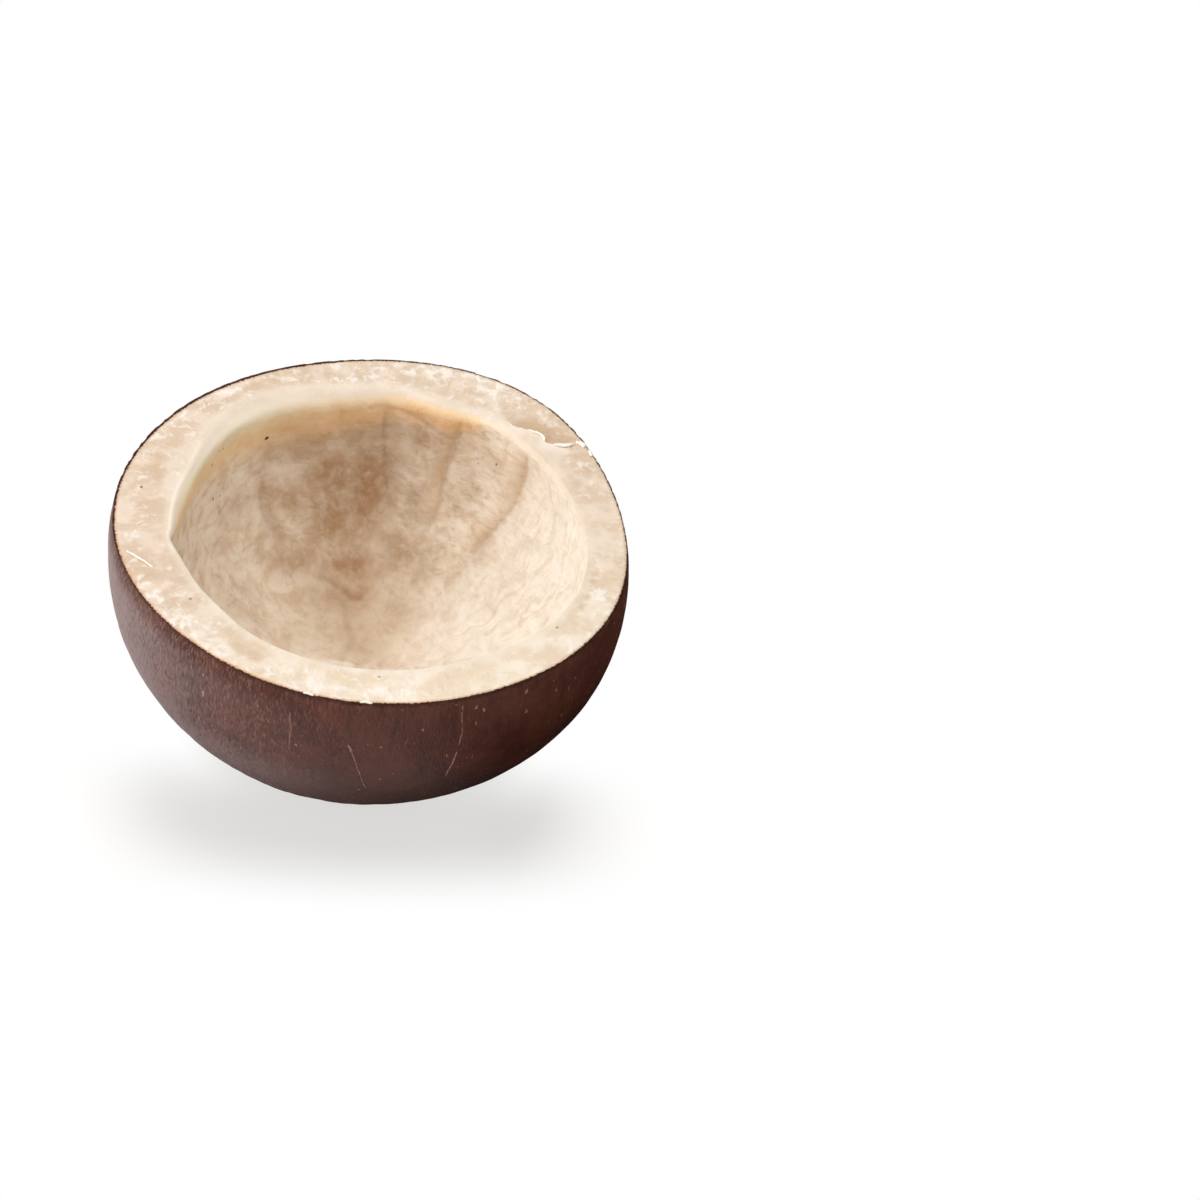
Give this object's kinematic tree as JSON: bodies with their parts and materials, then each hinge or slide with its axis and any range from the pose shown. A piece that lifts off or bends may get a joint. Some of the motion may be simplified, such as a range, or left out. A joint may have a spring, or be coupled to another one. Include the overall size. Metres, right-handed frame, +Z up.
{
  "type": "dried coconut half",
  "caption": "Cup-shaped half of a dried coconut with a flat cut rim of pale flesh, a folded hollow and thin brown skin, resting on its rounded bottom.",
  "frame": {"origin": "in the small flat spot under the bottom, below the middle of the half's outline seen from above", "axes": "+Z up, out of the hollow and square to the cut rim; +X along the half's slightly longer width, +Y across it"},
  "size_m": [0.0934, 0.0918, 0.047],
  "materials": {
    "dried_coconut": "satin"
  },
  "bodies": {
    "root": {"coconut_half": "dried_coconut"}
  },
  "joints": []
}
